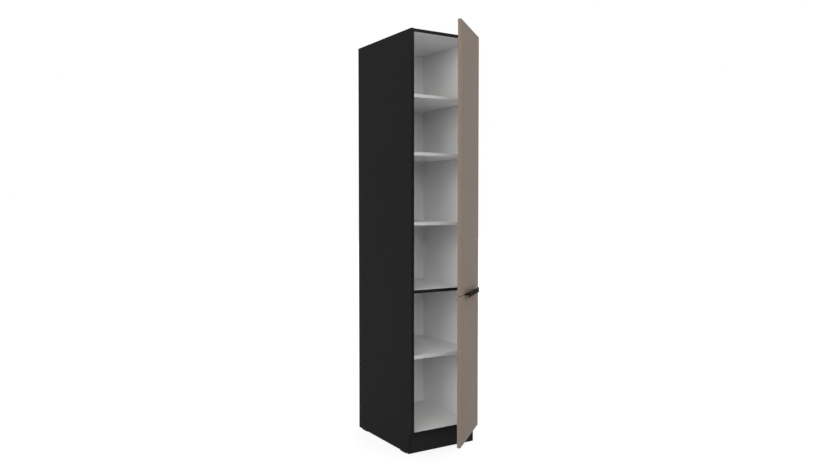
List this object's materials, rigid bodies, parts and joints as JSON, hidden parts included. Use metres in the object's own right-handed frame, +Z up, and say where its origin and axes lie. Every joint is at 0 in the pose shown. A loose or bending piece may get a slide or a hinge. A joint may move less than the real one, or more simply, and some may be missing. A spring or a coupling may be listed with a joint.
{
  "type": "tall utility cabinet",
  "caption": "Tall kitchen utility cabinet with stacked hinged doors, edge pulls, inner shelves and a recessed plinth.",
  "frame": {"origin": "on the floor, at the centre of the carcass footprint", "axes": "+Z up, +Y from the doors to the wall, +X to the right of a person facing the doors"},
  "size_m": [0.4005, 0.8338, 2.12],
  "materials": {
    "carcass_black": "matt black laminate on particle board",
    "interior_white": "satin white laminate on particle board",
    "door_taupe": "matt taupe laminate on particle board",
    "pull_black": "black anodised profile",
    "hinge_steel": "nickel-plated pressed steel",
    "zinc_fittings": "zinc-plated steel",
    "glide_plastic": "black moulded plastic",
    "dowel_wood": "raw beech",
    "bumper_rubber": "soft clear pad"
  },
  "bodies": {
    "carcass": {"side_panel_left": "carcass_black", "side_panel_right": "carcass_black", "side_edge_bands": "carcass_black", "top_panel": "interior_white", "bottom_panel": "interior_white", "fixed_shelf": "interior_white", "panel_edge_bands": "carcass_black", "shelf_1": "interior_white", "shelf_2": "interior_white", "shelf_3": "interior_white", "shelf_4": "interior_white", "shelf_edge_bands": "interior_white", "back_panel": "interior_white", "rear_rails": "interior_white", "plinth_board": "carcass_black", "glides": "glide_plastic", "glide_nails": "zinc_fittings", "shelf_pins": "zinc_fittings", "cam_discs": "zinc_fittings", "cam_bolts": "zinc_fittings", "dowels": "dowel_wood", "hinge_plates": "hinge_steel", "plate_screws": "zinc_fittings", "hinge_arms": "hinge_steel", "arm_screws": "zinc_fittings", "arm_pins": "hinge_steel"},
    "upper_outer_links": {"upper_outer_links": "hinge_steel"},
    "upper_inner_links": {"upper_inner_links": "hinge_steel"},
    "upper_door": {"upper_door": "door_taupe", "upper_pull": "pull_black", "upper_pull_screws": "zinc_fittings", "upper_bumpers": "bumper_rubber", "upper_hinge_cups": "hinge_steel", "upper_cup_screws": "zinc_fittings", "upper_cup_pins": "hinge_steel"},
    "lower_outer_links": {"lower_outer_links": "hinge_steel"},
    "lower_inner_links": {"lower_inner_links": "hinge_steel"},
    "lower_door": {"lower_door": "door_taupe", "lower_pull": "pull_black", "lower_pull_screws": "zinc_fittings", "lower_bumpers": "bumper_rubber", "lower_hinge_cups": "hinge_steel", "lower_cup_screws": "zinc_fittings", "lower_cup_pins": "hinge_steel"}
  },
  "joints": [
    {"name": "upper_outer_link_turn", "type": "hinge", "parent": "carcass", "child": "upper_outer_links", "pos_m": [0.164, -0.276, 0], "axis": [0, 0, 1], "range_deg": [-15.3, 10.72]},
    {"name": "upper_inner_link_turn", "type": "hinge", "parent": "carcass", "child": "upper_inner_links", "pos_m": [0.156, -0.2738, 0], "axis": [0, 0, 1], "range_deg": [-5.2, 3.65]},
    {"name": "upper_door_swing", "type": "hinge", "parent": "upper_outer_links", "child": "upper_door", "pos_m": [0.18612, -0.29087, 0], "axis": [0, 0, 1], "range_deg": [-51.91, 74.09]},
    {"name": "lower_outer_link_turn", "type": "hinge", "parent": "carcass", "child": "lower_outer_links", "pos_m": [0.164, -0.276, 0], "axis": [0, 0, 1], "range_deg": [-15.3, 10.72]},
    {"name": "lower_inner_link_turn", "type": "hinge", "parent": "carcass", "child": "lower_inner_links", "pos_m": [0.156, -0.2738, 0], "axis": [0, 0, 1], "range_deg": [-5.2, 3.65]},
    {"name": "lower_door_swing", "type": "hinge", "parent": "lower_outer_links", "child": "lower_door", "pos_m": [0.18612, -0.29087, 0], "axis": [0, 0, 1], "range_deg": [-51.91, 74.09]}
  ],
  "couplings": [
    {"joint": "upper_outer_link_turn", "follows": "upper_door_swing", "ratio": -0.20635},
    {"joint": "upper_inner_link_turn", "follows": "upper_door_swing", "ratio": -0.070095},
    {"joint": "lower_outer_link_turn", "follows": "lower_door_swing", "ratio": -0.20635},
    {"joint": "lower_inner_link_turn", "follows": "lower_door_swing", "ratio": -0.070095}
  ]
}
